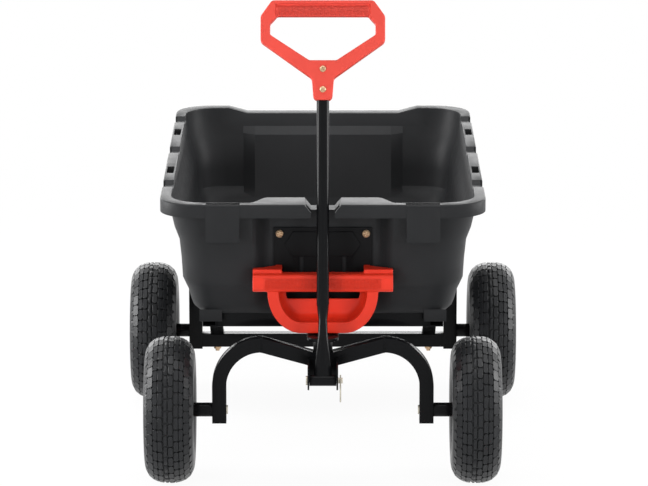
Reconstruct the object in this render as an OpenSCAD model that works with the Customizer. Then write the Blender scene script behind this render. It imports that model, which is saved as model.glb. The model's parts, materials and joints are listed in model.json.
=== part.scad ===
// Tipping dump cart: a moulded tub that tips on a steel frame, with a steered front axle.
// Lengths are in millimetres, +Z is up and the pulled end faces -Y.
// Left and right are as seen by someone who faces the pulled end.

/* [Layout] */
// Distance between the front and rear axles
wheelbase = 600; // [560:5:660]
// Middle of the cart to the middle of a front tyre
front_half_track = 270; // [262:1:285]
// Middle of the cart to the middle of a rear tyre
rear_half_track = 321; // [318:1:345]

/* [Wheels] */
// Outside diameter of a tyre
tyre_d = 260; // [248:1:262]
// Width of a tyre over its side walls
tyre_w = 88; // [80:1:92]
// Diameter of the bead seat on the rim
bead_d = 101.6; // [98:0.1:106]
// Distance between the two rim flanges
rim_w = 60; // [54:1:64]
// Diameter of the stub axles
axle_d = 16; // [12:0.5:20]
// Outside diameter of a wheel hub
hub_d = 36; // [30:1:42]
// Length of a wheel hub
hub_len = 68; // [60:1:72]

/* [Steel frame] */
// Side of the square steel tube
tube = 25; // [22:1:27]
// Wall of the square steel tube
tube_wall = 2; // [1.5:0.5:3]
// Middle of the cart to the outer face of a side rail
rail_out = 214; // [208:1:218]
// Height of the top of the side rails
rail_top = 289; // [287:1:300]
// Middle of the cart to the inner face of a rear post
post_in = 230; // [224:1:234]
// Diameter of the rod that the tub tips on
pivot_d = 12; // [10:0.5:14]

/* [Front axle] */
// Middle of the cart to the middle of a front leg
leg_x = 183; // [176:1:190]
// Height of the middle of the tube at the top of a leg
arch_z = 249; // [236:1:250]
// Bend radius of a front leg at the middle of the tube
bend_r = 75; // [60:1:85]
// Slope of the two middle tubes down to the kingpin in degrees
arch_slope = 15.5; // [10:0.5:18]
// Diameter of the kingpin
kingpin_d = 16; // [14:0.5:18]

/* [Pull handle] */
// Clevis pin ahead of the front axle
pin_ahead = 72; // [68:1:90]
// Height of the clevis pin
pin_z = 201; // [196:1:210]
// Diameter of the clevis pin
pin_d = 10; // [8:0.5:12]
// Lean of the shaft towards the tub at rest in degrees
lean = 16; // [14:0.1:16]
// Clevis pin to the top of the grip
handle_len = 667; // [560:1:760]
// Outside diameter of the shaft
shaft_d = 22; // [19:0.5:24]
// Width of the grip
grip_w = 219; // [180:1:240]
// Height of the grip with its socket
grip_h = 176; // [160:1:200]
// Thickness of the grip
grip_t = 31; // [28:1:36]
// Height of the bar that the hand holds
grip_bar = 28; // [24:1:34]

/* [Tub] */
// Length of the tub over its rim
tub_len = 965; // [930:5:1020]
// Width of the tub over its rim
tub_w = 575; // [560:1:600]
// Height of the tub from its floor to its rim
tub_h = 210; // [195:1:260]
// Wall of the tub
tub_wall = 4; // [3:0.5:5]
// Corner radius of the rim
rim_corner = 70; // [55:1:85]
// Height of the skirt under the rim
skirt_h = 24; // [18:1:30]
// Width of the alcove in the front wall
alcove_w = 188; // [184:1:200]
// Depth of the alcove behind the front edge of the rim
alcove_deep = 62; // [61:1:66]
// Width of the rest for the shaft at the bottom
rest_w = 42; // [40:1:48]

/* [Release handle] */
// Length of the release bar
bar_len = 247; // [220:1:260]
// Height of the release bar
bar_h = 32; // [26:1:36]
// Thickness of the release bar
bar_t = 28; // [22:1:30]
// Travel of the release handle
release_travel = 22; // [15:1:24]
// Outside radius of the finger scoop
scoop_r = 97.5; // [85:0.5:98]
// Width of the band round the scoop
scoop_band = 20; // [14:0.5:24]

/* [Hidden] */
$fn = 64;
// Clearances, and the one overrun of all cuts
run_gap = 0.05;
seat_gap = 0.3;
cut = 1;
// Ends of the part along Y from the front axle, and the shift that centres its box
front_reach = tyre_d / 2;
y_shift = (front_reach - tub_len) / 2;
// Wheels
axle_z = tyre_d / 2;
tyre_wall = 8;
tyre_power_share = 0.83;
tyre_turn = 50;
half_turn = 180;
tyre_step = 10;
groove_w = 5;
groove_deep = 4.5;
groove_shares = [-0.56, -0.19, 0.19, 0.56];
rim_sheet = 2;
flange_rise = 6;
bead_gap = 0.5;
rim_bolt_d = 8;
rim_bolt_count = 4;
rim_bolt_r = 33;
rim_nut_d = 14;
rim_nut_h = 6.5;
hub_gap = seat_gap;
washer_d = 38;
washer_t = 3;
cotter_d = 4;
cotter_len = 30;
axle_tail = 43.5;
cotter_u = hub_len / 2 + hub_gap + washer_t + cotter_d / 2 + seat_gap;
spacer_d = 25;
axle_show = 2.5;
WHEELS = [
    ["front_left", -front_half_track, 0],
    ["front_right", front_half_track, 0],
    ["rear_left", -rear_half_track, wheelbase],
    ["rear_right", rear_half_track, wheelbase]
];
// Steel frame
floor_inset = 66;
foot_y0 = 57;
foot_y1 = 67;
foot_gap = 3;
rail_z = rail_top - tube / 2;
rail_bottom = rail_top - tube;
rail_in = rail_out - tube;
rail_y0 = foot_y1 + foot_gap;
cross_y0 = rail_y0;
rear_cross_ahead = 80;
post_mid = post_in + tube / 2;
post_out = post_in + tube;
post_z0 = 96;
beam_z0 = 100;
beam_z1 = beam_z0 + tube;
brace_w = 25;
brace_t = 5;
brace_ahead = 250;
brace_tab = 30;
brace_x = (rail_in + rail_out) / 2;
brace_bolt_d = 8;
brace_head_d = 14;
brace_head_h = 6;
brace_stick = 10;
plate_t = 6;
plate_half = 28;
plate_lap = 17;
plate_y1 = cross_y0 + plate_lap;
thrust_t = 2;
thrust_d = 32;
kingpin_nut_d = 27;
kingpin_nut_h = 12;
kingpin_tail = 3;
pivot_spacer_d = 20;
pivot_head = 2;
keeper_t = 3.5;
keeper_half = 18;
keeper_h = 15;
// Front axle
leg_tail = 22.5;
arch_x = leg_x - bend_r;
arch_half = tube / 2 / cos(arch_slope);
arch_droop = arch_x * tan(arch_slope);
sleeve_d = 34;
sleeve_z1 = rail_bottom - plate_t - thrust_t - seat_gap;
sleeve_z0 = 196;
clevis_t = 3;
clevis_half = 26.75;
clevis_r = 17;
clevis_top = 228;
pin_head_d = 16;
pin_head_t = 3;
pin_stick = 8;
clip_d = 2.5;
clip_len = 44;
// Pull handle
bush_d = 19;
bush_half = clevis_half - clevis_t - seat_gap;
yoke_rises = [4, 12, 45, 78, 105, 135];
yoke_widths = [31, 31, 25, 17.5, 15.5, 21.6];
yoke_depths = [12, 12, 14, 19, 21.4, 21.4];
yoke_sides = 32;
yoke_len = yoke_rises[len(yoke_rises) - 1];
shaft_wall = 2;
shaft_sink = 64;
socket_gap = 0.05;
grip_arm = 17;
neck_w = 33;
neck_top_w = 39;
grip_corner_w = 20;
grip_corner_h = 28;
opening_corner_w = 12.5;
opening_corner_h = 13.5;
grip_round = 9;
grip_steps = 5;
recess_w = 166;
recess_deep = 6;
recess_drop = 6;
hold_d = 25;
hold_drop = 15;
neck_share = 0.22;
shoulder_share = 0.585;
opening_foot_w = 48;
opening_foot_share = 0.4;
opening_side_share = 0.655;
grip_base = handle_len - grip_h;
grip_screw_d = 5;
grip_screw_head = 11;
grip_screw_head_t = 2.5;
grip_screw_shares = [0.105, 0.31];
// Tub
tub_z0 = rail_top + seat_gap;
tub_z1 = tub_z0 + tub_h;
front_inset = 66;
rear_inset = 115;
corner_loss_share = 0.35;
corner_steps = 8;
wall_rise_shares = [0, 0.043, 0.1, 0.195, 0.243, 0.295, 0.46, 0.624, 0.74, 0.84, 0.981];
wall_inset_shares = [1, 0.871, 0.803, 0.72, 0.652, 0.583, 0.553, 0.5, 0.37, 0.3, 0.227];
rim_round = 2;
alcove_slope = 30;
alcove_steps = 5;
rest_top_w = 65;
rest_drop = 14;
rest_y = 27;
slot_len = 60;
slot_w = 14;
slot_inset = 3;
slot_floor = 3;
side_slot_shares = [0.327, 0.708];
front_slot_share = 0.61;
dip_len = 62;
dip_in = 4;
dip_deep = 7;
dip_slope = 9;
dip_shares = [0.198, 0.525, 0.845];
lip_w = 297;
lip_top_w = 372;
lip_drop = 10;
back_panel_w = 268;
back_panel_deep = 20;
back_panel_shares = [0.17, 0.775, 0.845];
floor_panel_rise = 2;
floor_panel_y0 = 110;
floor_panel_y1 = 800;
floor_panel_gap = 6;
pad_in_share = 0.51;
pad_out_share = 0.715;
pad_drop = 43;
pad_y0 = -1.5;
pad_sink = 2;
pad_floor = 4;
foot_wide = 10;
foot_in = rail_in - foot_wide;
foot_out = rail_out + foot_wide / 2;
foot_drop = 13;
bracket_t = 6;
bracket_gap = 6;
bracket_flange = 38;
bracket_len = 60;
bracket_sheet = 3;
bracket_r = 12;
floor_bolt_d = 8;
floor_bolt_head = 16;
floor_bolt_head_t = 4;
floor_bolt_tail = 6;
floor_bolt_apart = 40;
// Front plate on the tub
front_plate_t = 3;
front_plate_y1 = alcove_deep - seat_gap;
front_plate_y0 = front_plate_y1 - front_plate_t;
front_plate_w = 174;
front_plate_rise = 12.6;
front_plate_drop = 53;
front_plate_z0 = tub_z0 + front_plate_rise;
front_plate_z1 = tub_z1 - front_plate_drop;
panel_w = 135;
panel_h = 45;
panel_t = 1.5;
panel_drop = 7;
panel_point = 14.5;
guide_x = 38;
guide_d = 7;
guide_gap = 0.3;
plate_screw_x = 76.5;
plate_screw_d = 5;
plate_screw_head = 13;
plate_screw_head_t = 3.5;
plate_screw_drop = 10.5;
latch_y = 49;
latch_rise = 22.7;
latch_z = tub_z0 + latch_rise;
latch_pin_d = 6;
latch_ear_in = 13;
latch_ear_t = 3;
latch_ear_r = 9;
hook_half = latch_ear_in - seat_gap;
hook_t = 6;
hook_r = 7;
hook_y0 = 44;
hook_rise = 3;
hook_z0 = rail_bottom + hook_rise;
nose_h = 6;
nose_y1 = cross_y0 - keeper_t - seat_gap;
// Release handle
bar_y0 = 2;
bar_rise = 51.7;
bar_z0 = tub_z0 + bar_rise;
bar_round = 9;
guide_rise = 14;
guide_z = bar_z0 + guide_rise;
guide_spare = 22;
scoop_y0 = 7;
scoop_y1 = 40;
scoop_h = 74.5;
scoop_z0 = bar_z0 - scoop_h;
scoop_flat_share = 0.385;
scoop_flat = scoop_flat_share * scoop_r;
scoop_steps = 16;
scoop_gap = 18;
scoop_back = 4;
scoop_rib = 10;
scoop_rib_deep = 14;
scoop_lap = 6;
arm_in = 72;
arm_foot = 84;
arm_turn = 108;
arm_y1 = 36;
arm_low = 6;
arm_high = 7;
carrier_low = 4;
carrier_h = 22;
carrier_t = 6;

WHEEL_PARTS = ["tyre", "outer_rim", "inner_rim", "hub", "rim_bolts"];

// Shared shapes

// Box between two corners
module block(low, high) {
    translate(low) cube(high - low);
}

// Children, and their mirror image on the other side of the cart
module both_sides() {
    children();
    mirror([1, 0, 0]) children();
}

module rod_x(d, x0, x1, y, z) {
    translate([x0, y, z]) rotate([0, 90, 0]) cylinder(d = d, h = x1 - x0);
}

module rod_y(d, y0, y1, x, z) {
    translate([x, y1, z]) rotate([90, 0, 0]) cylinder(d = d, h = y1 - y0);
}

module rod_z(d, z0, z1, x, y) {
    translate([x, y, z0]) cylinder(d = d, h = z1 - z0);
}

// Outline in Y and Z, drawn out along X
module along_x(x0, x1) {
    translate([x0, 0, 0]) rotate([90, 0, 90]) linear_extrude(x1 - x0) children();
}

// Outline in X and Z, drawn out along Y
module along_y(y0, y1) {
    translate([0, y1, 0]) rotate([90, 0, 0]) linear_extrude(y1 - y0) children();
}

module round_rect(w, h, r) {
    square([w - 2 * r, h], center = true);
    square([w, h - 2 * r], center = true);
    for (x = [-1, 1], y = [-1, 1]) {
        translate([x * (w / 2 - r), y * (h / 2 - r)]) circle(r);
    }
}

module tube_section() {
    difference() {
        square(tube, center = true);
        square(tube - 2 * tube_wall, center = true);
    }
}

// Square tube along X between two ends
module tube_x(x0, x1, y, z) {
    translate([x0, y, z]) rotate([0, 90, 0]) linear_extrude(x1 - x0) tube_section();
}

// Square tube along Y between two ends
module tube_y(y0, y1, x, z) {
    translate([x, y1, z]) rotate([90, 0, 0]) linear_extrude(y1 - y0) tube_section();
}

// Wheels, drawn round Z with +Z towards the outside of the cart

// Half-oval tyre section as [radius, height] points
function tyre_line(half, rise) = [
    for (a = [-tyre_turn : tyre_step : half_turn + tyre_turn])
        let (c = cos(a), s = sin(a))
        [(bead_d + tyre_d) / 4 + rise * sign(s) * pow(abs(s), tyre_power_share),
         half * sign(c) * pow(abs(c), tyre_power_share)]
];

module tyre() {
    rise = (tyre_d - bead_d) / 4;
    bead = rim_w / 2;
    foot = bead - tyre_wall;
    outer = concat([[bead_d / 2, bead]], tyre_line(tyre_w / 2, rise), [[bead_d / 2, -bead]]);
    inner = concat([[bead_d / 2 - cut, foot]], tyre_line(tyre_w / 2 - tyre_wall, rise - tyre_wall),
                   [[bead_d / 2 - cut, -foot]]);
    color("#2b2b2b") rotate_extrude($fn = 128) difference() {
        polygon(outer);
        polygon(inner);
        for (s = groove_shares) {
            translate([tyre_d / 2 - groove_deep, s * tyre_w / 2 - groove_w / 2])
                square([groove_deep + cut, groove_w]);
        }
    }
}

// One pressed half of a rim, with its disc on the wheel's middle plane
module rim_half() {
    barrel = bead_d / 2 - seat_gap;
    lip = rim_w / 2 + bead_gap;
    color("#d8352c") difference() {
        rotate_extrude($fn = 96) polygon([
            [hub_d / 2 + run_gap, 0], [barrel, 0], [barrel, lip],
            [barrel + flange_rise, lip], [barrel + flange_rise, lip + rim_sheet],
            [barrel - rim_sheet, lip + rim_sheet], [barrel - rim_sheet, rim_sheet],
            [hub_d / 2 + run_gap, rim_sheet]
        ]);
        for (i = [0 : rim_bolt_count - 1]) {
            rotate(360 * i / rim_bolt_count) translate([rim_bolt_r, 0, -cut])
                cylinder(d = rim_bolt_d + 2 * run_gap, h = rim_sheet + 2 * cut);
        }
    }
}

module hub() {
    color("#c9b98a") difference() {
        cylinder(d = hub_d, h = hub_len, center = true);
        cylinder(d = axle_d + 2 * run_gap, h = hub_len + 2 * cut, center = true);
    }
}

module rim_bolts() {
    color("#c9b060") for (i = [0 : rim_bolt_count - 1]) {
        rotate(360 * i / rim_bolt_count) translate([rim_bolt_r, 0, 0]) {
            cylinder(d = rim_bolt_d, h = 2 * rim_sheet, center = true);
            translate([0, 0, rim_sheet]) cylinder(d = rim_nut_d, h = rim_nut_h, $fn = 6);
            translate([0, 0, -rim_sheet - rim_nut_h]) cylinder(d = rim_nut_d, h = rim_nut_h, $fn = 6);
        }
    }
}

// Puts a wheel piece on its axle, with its outer side away from the cart
module at_wheel(w) {
    translate([w[1], w[2], axle_z]) rotate([0, w[1] < 0 ? -90 : 90, 0]) children();
}

// Stub axle, spacer and retainers of one axle line, on the +X side
module stub_axle(inner, track, y) {
    color("#8d8d8d") both_sides() difference() {
        rod_x(axle_d, inner, track + axle_tail, y, axle_z);
        rod_z(cotter_d + 2 * run_gap, axle_z - axle_d, axle_z + axle_d, track + cotter_u, y);
    }
}

module hub_spacer(start, track, y) {
    stop = track - hub_len / 2 - hub_gap - washer_t;
    color("#1d1d1d") both_sides() difference() {
        rod_x(spacer_d, start, stop, y, axle_z);
        rod_x(axle_d + 2 * run_gap, start - cut, stop + cut, y, axle_z);
    }
}

module retainers(track, y) {
    color("#d8d2bc") both_sides() {
        for (s = [-1, 1]) {
            middle = track + s * (hub_len / 2 + hub_gap + washer_t / 2);
            difference() {
                rod_x(washer_d, middle - washer_t / 2, middle + washer_t / 2, y, axle_z);
                rod_x(axle_d + 2 * run_gap, middle - washer_t, middle + washer_t, y, axle_z);
            }
        }
        rod_z(cotter_d, axle_z - cotter_len / 2, axle_z + cotter_len / 2, track + cotter_u, y);
    }
}

// Steel frame

module side_rails() {
    color("#1a1a1a") both_sides() difference() {
        union() {
            tube_y(rail_y0, wheelbase, (rail_in + rail_out) / 2, rail_z);
            rod_x(tube, rail_in, rail_out, wheelbase, rail_z);
        }
        rod_x(pivot_d + 2 * run_gap, rail_in - cut, rail_out + cut, wheelbase, rail_z);
    }
}

module front_cross_member() {
    color("#1a1a1a") tube_x(-rail_in, rail_in, cross_y0 + tube / 2, rail_z);
}

module rear_cross_member() {
    color("#1a1a1a") tube_x(-rail_in, rail_in, wheelbase - rear_cross_ahead, rail_z);
}

module kingpin_plate() {
    color("#1a1a1a") difference() {
        union() {
            block([-plate_half, 0, rail_bottom - plate_t], [plate_half, plate_y1, rail_bottom]);
            rod_z(2 * plate_half, rail_bottom - plate_t, rail_bottom, 0, 0);
        }
        rod_z(kingpin_d + 2 * run_gap, rail_bottom - plate_t - cut, rail_bottom + cut, 0, 0);
    }
}

module kingpin() {
    color("#9a9a9a")
        rod_z(kingpin_d, sleeve_z0 - seat_gap - thrust_t - kingpin_nut_h - kingpin_tail, rail_bottom, 0, 0);
}

module kingpin_washers() {
    tops = [rail_bottom - plate_t, sleeve_z0 - seat_gap];
    color("#d0c9b0") for (z = tops) {
        difference() {
            rod_z(thrust_d, z - thrust_t, z, 0, 0);
            rod_z(kingpin_d + 2 * run_gap, z - thrust_t - cut, z + cut, 0, 0);
        }
    }
}

module kingpin_nut() {
    top = sleeve_z0 - seat_gap - thrust_t;
    color("#c9b060") difference() {
        translate([0, 0, top - kingpin_nut_h]) cylinder(d = kingpin_nut_d, h = kingpin_nut_h, $fn = 6);
        rod_z(kingpin_d + 2 * run_gap, top - kingpin_nut_h - cut, top + cut, 0, 0);
    }
}

module latch_keeper() {
    color("#1a1a1a")
        block([-keeper_half, cross_y0 - keeper_t, rail_top - keeper_h], [keeper_half, cross_y0, rail_top]);
}

module rear_beam() {
    color("#1a1a1a") difference() {
        tube_x(-post_in, post_in, wheelbase, beam_z0 + tube / 2);
        both_sides() rod_z(brace_bolt_d + 2 * run_gap, beam_z0 - cut, beam_z1 + cut, brace_x, wheelbase);
    }
}

module rear_posts() {
    top = rail_z + tube / 2;
    color("#1a1a1a") both_sides() difference() {
        translate([post_mid, wheelbase, post_z0]) linear_extrude(top - post_z0) tube_section();
        rod_x(pivot_d + 2 * run_gap, post_in - cut, post_out + cut, wheelbase, rail_z);
        rod_x(axle_d + 2 * run_gap, post_in - cut, post_out + cut, wheelbase, axle_z);
    }
}

// Bent flat bar from under a rail down to the top of the rear beam
module braces() {
    y0 = wheelbase - brace_ahead;
    y1 = wheelbase - tube / 2;
    y2 = wheelbase + tube / 2;
    low = beam_z1;
    color("#1a1a1a") both_sides() difference() {
        along_x(brace_x - brace_w / 2, brace_x + brace_w / 2) polygon([
            [y0 - brace_tab, rail_bottom], [y0 - brace_tab, rail_bottom - brace_t],
            [y0, rail_bottom - brace_t], [y1 - brace_t, low], [y2, low],
            [y2, low + brace_t], [y1, low + brace_t], [y0 + brace_t, rail_bottom]
        ]);
        rod_z(brace_bolt_d + 2 * run_gap, low - cut, low + brace_t + cut, brace_x, wheelbase);
    }
}

module brace_bolts() {
    top = beam_z1 + brace_t;
    color("#c9b060") both_sides() {
        rod_z(brace_bolt_d, beam_z0 - brace_stick, top, brace_x, wheelbase);
        rod_z(brace_head_d, top, top + brace_head_h, brace_x, wheelbase);
        translate([brace_x, wheelbase, beam_z0 - brace_head_h])
            cylinder(d = brace_head_d, h = brace_head_h, $fn = 6);
    }
}

module pivot_rod() {
    color("#9a9a9a") rod_x(pivot_d, -post_out - pivot_head, post_out + pivot_head, wheelbase, rail_z);
}

module pivot_spacers() {
    color("#1d1d1d") both_sides() difference() {
        rod_x(pivot_spacer_d, rail_out, post_in, wheelbase, rail_z);
        rod_x(pivot_d + 2 * run_gap, rail_out - cut, post_in + cut, wheelbase, rail_z);
    }
}

// Front axle

function arch_line(end, half, mid) = [
    [-end, mid + end * tan(arch_slope) - half], [0, mid - half], [end, mid + end * tan(arch_slope) - half],
    [end, mid + end * tan(arch_slope) + half], [0, mid + half], [-end, mid + end * tan(arch_slope) + half]
];

module front_crossbar() {
    mid = arch_z - arch_droop;
    hollow = tube / 2 - tube_wall;
    color("#1a1a1a") difference() {
        along_y(-tube / 2, tube / 2) polygon(arch_line(arch_x, arch_half, mid));
        along_y(-hollow, hollow) polygon(arch_line(arch_x + cut, arch_half - tube_wall, mid));
        rod_z(sleeve_d, sleeve_z0, sleeve_z1, 0, 0);
    }
}

// Bent leg on the +X side
module front_leg() {
    low = axle_z - leg_tail;
    color("#1a1a1a") difference() {
        union() {
            translate([leg_x, 0, low]) linear_extrude(arch_z - bend_r - low) tube_section();
            translate([arch_x, 0, arch_z - bend_r]) rotate([90, 0, 0])
                rotate_extrude(angle = 90) translate([bend_r, 0]) tube_section();
        }
        rod_x(axle_d + 2 * run_gap, leg_x - tube, leg_x + tube, 0, axle_z);
    }
}

module kingpin_sleeve() {
    color("#1a1a1a") difference() {
        rod_z(sleeve_d, sleeve_z0, sleeve_z1, 0, 0);
        rod_z(kingpin_d + 2 * run_gap, sleeve_z0 - cut, sleeve_z1 + cut, 0, 0);
    }
}

module handle_clevis() {
    web_y = -sleeve_d / 2;
    color("#1a1a1a") {
        difference() {
            along_x(-clevis_half, clevis_half) {
                translate([-pin_ahead, pin_z]) circle(clevis_r);
                translate([-pin_ahead - clevis_r, pin_z]) square([pin_ahead + clevis_r - tube / 2, clevis_top - pin_z]);
                translate([-pin_ahead, pin_z - clevis_r]) square([pin_ahead + web_y, clevis_r]);
            }
            block([-clevis_half + clevis_t, -pin_ahead - clevis_r - cut, pin_z - clevis_r - cut],
                  [clevis_half - clevis_t, web_y - clevis_t, clevis_top + cut]);
            block([-clevis_half + clevis_t, web_y, pin_z - clevis_r - cut],
                  [clevis_half - clevis_t, 0, clevis_top + cut]);
            rod_x(pin_d + 2 * run_gap, -clevis_half - cut, clevis_half + cut, -pin_ahead, pin_z);
        }
    }
}

module clevis_pin() {
    color("#b9b9b9") difference() {
        union() {
            rod_x(pin_d, -clevis_half, clevis_half + pin_stick, -pin_ahead, pin_z);
            rod_x(pin_head_d, -clevis_half - pin_head_t, -clevis_half, -pin_ahead, pin_z);
        }
        rod_z(clip_d + 2 * run_gap, pin_z - pin_d, pin_z + pin_d, clevis_half + pin_stick / 2, -pin_ahead);
    }
}

// Wire clip through the clevis pin: a straight leg, and a loop with the second leg in front of the pin
module hairpin_clip() {
    x = clevis_half + pin_stick / 2;
    low = pin_z + pin_d - clip_len;
    side = pin_d / 2 + clip_d / 2 + seat_gap;
    loop_y = -pin_ahead - side / 2;
    color("#b9b9b9") {
        rod_z(clip_d, low, pin_z + pin_d, x, -pin_ahead);
        rod_z(clip_d, low, pin_z + pin_d / 2, x, -pin_ahead - side);
        translate([x, loop_y, low]) rotate([90, 0, 90]) rotate_extrude(angle = -180)
            translate([side / 2, 0]) circle(d = clip_d);
    }
}

// Pull handle, drawn along +Z from the clevis pin and leaned back to the tub

module at_handle() {
    translate([0, -pin_ahead, pin_z]) rotate([-lean, 0, 0]) children();
}

module grip_screw_holes() {
    for (s = grip_screw_shares) {
        rod_y(grip_screw_d + 2 * run_gap, -grip_t, grip_t, 0, grip_base + s * grip_h);
    }
}

// Lower end of the shaft, drawn in at the sides and then pressed flat
module yoke() {
    last = len(yoke_rises) - 1;
    n = yoke_sides;
    polyhedron(
        points = [for (k = [0 : last], i = [0 : n - 1])
            let (a = 360 * i / n)
            [yoke_widths[k] / 2 * cos(a), yoke_depths[k] / 2 * sin(a), yoke_rises[k]]],
        faces = concat(
            [[for (i = [0 : n - 1]) i]],
            [for (k = [0 : last - 1], i = [0 : n - 1])
                let (a = k * n + i, b = k * n + (i + 1) % n) each [[a, a + n, b + n], [a, b + n, b]]],
            [[for (i = [n - 1 : -1 : 0]) last * n + i]]));
}

module handle_shaft() {
    color("#161616") at_handle() difference() {
        union() {
            rod_z(shaft_d, yoke_len - 2 * cut, grip_base + shaft_sink, 0, 0);
            yoke();
        }
        rod_z(shaft_d - 2 * shaft_wall, yoke_len, grip_base + shaft_sink + cut, 0, 0);
        rod_x(bush_d, -bush_half, bush_half, 0, 0);
        grip_screw_holes();
    }
}

module handle_bush() {
    color("#161616") at_handle() difference() {
        rod_x(bush_d, -bush_half, bush_half, 0, 0);
        rod_x(pin_d + 2 * run_gap, -bush_half - cut, bush_half + cut, 0, 0);
    }
}

// Outline with each of its corners rounded
function fillet(a, b, c, r) =
    let (u = (a - b) / norm(a - b), v = (c - b) / norm(c - b), h = acos(u * v) / 2,
         o = b + (u + v) / norm(u + v) * r / sin(h), p = b + u * r / tan(h) - o, q = b + v * r / tan(h) - o,
         a0 = atan2(p[1], p[0]), turn = atan2(p[0] * q[1] - p[1] * q[0], p * q))
    [for (i = [0 : grip_steps]) o + r * [cos(a0 + turn * i / grip_steps), sin(a0 + turn * i / grip_steps)]];

function rounded(line, r) =
    let (n = len(line))
    [for (i = [0 : n - 1]) each fillet(line[(i + n - 1) % n], line[i], line[(i + 1) % n], r)];

// Right half of an outline and its mirror image
function mirrored(half) = concat(half, [for (i = [len(half) - 1 : -1 : 0]) [-half[i][0], half[i][1]]]);

module grip_outline() {
    side = grip_w / 2;
    polygon(rounded(mirrored([
        [neck_w / 2, grip_base], [neck_top_w / 2, grip_base + neck_share * grip_h],
        [side, grip_base + shoulder_share * grip_h], [side, handle_len - grip_corner_h],
        [side - grip_corner_w, handle_len]
    ]), grip_round));
}

module grip_opening() {
    side = grip_w / 2 - grip_arm;
    top = handle_len - grip_bar;
    polygon(rounded(mirrored([
        [opening_foot_w / 2, grip_base + opening_foot_share * grip_h],
        [side, grip_base + opening_side_share * grip_h], [side, top - opening_corner_h],
        [side - opening_corner_w, top]
    ]), grip_round / 2));
}

// Recesses in both faces of the bar, for the round part that the hand holds
module grip_recess() {
    for (s = [0, 1]) {
        mirror([0, s, 0]) block([-recess_w / 2, grip_t / 2 - recess_deep, handle_len - grip_bar - cut],
                                [recess_w / 2, grip_t / 2 + cut, handle_len - recess_drop]);
    }
}

module d_grip() {
    color("#ef5548") at_handle() difference() {
        union() {
            difference() {
                along_y(-grip_t / 2, grip_t / 2) difference() {
                    grip_outline();
                    grip_opening();
                }
                grip_recess();
            }
            rod_x(hold_d, -recess_w / 2, recess_w / 2, 0, handle_len - hold_drop);
        }
        rod_z(shaft_d + 2 * socket_gap, grip_base - cut, grip_base + shaft_sink, 0, 0);
        grip_screw_holes();
    }
}

module grip_screws() {
    color("#c9b060") at_handle() for (s = grip_screw_shares) {
        z = grip_base + s * grip_h;
        rod_y(grip_screw_d, -grip_t / 2, grip_t / 2, 0, z);
        rod_y(grip_screw_head, -grip_t / 2 - grip_screw_head_t, -grip_t / 2, 0, z);
        rod_y(grip_screw_head, grip_t / 2, grip_t / 2 + grip_screw_head_t, 0, z);
    }
}

// Tub, measured along Y from the front edge of its rim

function corner(x, y, r, turn) = [
    for (i = [0 : corner_steps])
        let (a = turn + 90 * i / corner_steps) [x + r * cos(a), y + r * sin(a)]
];

// Point on the soft step from the front wall into the alcove
function alcove_side(side, share, wide, y0, back) = [
    side * (wide + alcove_slope * (1 - share)),
    y0 + (back - y0) * share * share * (3 - 2 * share)
];

// Closed line round the tub at one height, drawn in from the rim by three insets
function tub_loop(z, side, front, rear, r, deep, wide) =
    let (w = tub_w / 2 - side, y0 = front, y1 = tub_len - rear,
         back = max(deep, y0))
    [for (p = concat(
        corner(w - r, y0 + r, r, -90), corner(w - r, y1 - r, r, 0),
        corner(-w + r, y1 - r, r, 90), corner(-w + r, y0 + r, r, 180),
        [for (i = [0 : alcove_steps]) alcove_side(-1, i / alcove_steps, wide, y0, back)],
        [for (i = [alcove_steps : -1 : 0]) alcove_side(1, i / alcove_steps, wide, y0, back)]))
        [p[0], p[1], z]];

// Line on the wall at one step of the tables, moved in by the thickness of the wall
function wall_loop(k, thick) =
    let (s = wall_inset_shares[k],
         z = k == 0 ? tub_z0 + thick : tub_z0 + wall_rise_shares[k] * tub_h)
    tub_loop(z, s * floor_inset + thick, s * front_inset + thick, s * rear_inset + thick,
             rim_corner * (1 - corner_loss_share * s), alcove_deep + thick, alcove_w / 2 + thick);

function rim_loop(z, inset) =
    tub_loop(z, inset, inset, inset, rim_corner - inset, inset, alcove_w / 2);

wall_top = len(wall_rise_shares) - 1;
tub_loops = concat(
    [for (k = [0 : wall_top]) wall_loop(k, 0)],
    [rim_loop(tub_z1 - tub_wall, tub_wall), rim_loop(tub_z1 - skirt_h, tub_wall),
     rim_loop(tub_z1 - skirt_h, 0), rim_loop(tub_z1 - rim_round, 0), rim_loop(tub_z1, rim_round)],
    [[for (p = wall_loop(wall_top, tub_wall)) [p[0], p[1], tub_z1]]],
    [for (k = [wall_top : -1 : 0]) wall_loop(k, tub_wall)]);

module tub_shell() {
    n = len(tub_loops[0]);
    last = len(tub_loops) - 1;
    under = (last + 1) * n;
    middle = tub_len / 2;
    polyhedron(
        points = concat([for (ring = tub_loops) each ring],
                        [[0, middle, tub_z0], [0, middle, tub_z0 + tub_wall]]),
        faces = concat(
            [for (i = [0 : n - 1]) [i, (i + 1) % n, under]],
            [for (j = [0 : last - 1], i = [0 : n - 1])
                let (a = j * n + i, b = j * n + (i + 1) % n) each [[a, a + n, b + n], [a, b + n, b]]],
            [for (i = [0 : n - 1]) [last * n + (i + 1) % n, last * n + i, under + 1]]));
}

// Section across the rest for the shaft: a shallow channel that widens upwards
module rest_section(grow) {
    polygon([
        [-rest_w / 2 - grow, tub_z1 - rest_drop - grow], [rest_w / 2 + grow, tub_z1 - rest_drop - grow],
        [rest_top_w / 2 + grow, tub_z1], [-rest_top_w / 2 - grow, tub_z1]
    ]);
}

// Section along the rim through one saddle, and across the rear rim through its pouring lip
module dip_section(grow) {
    polygon([
        [-dip_len / 2 - grow, tub_z1], [-dip_len / 2 + dip_slope - grow, tub_z1 - dip_deep - grow],
        [dip_len / 2 - dip_slope + grow, tub_z1 - dip_deep - grow], [dip_len / 2 + grow, tub_z1]
    ]);
}

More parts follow.
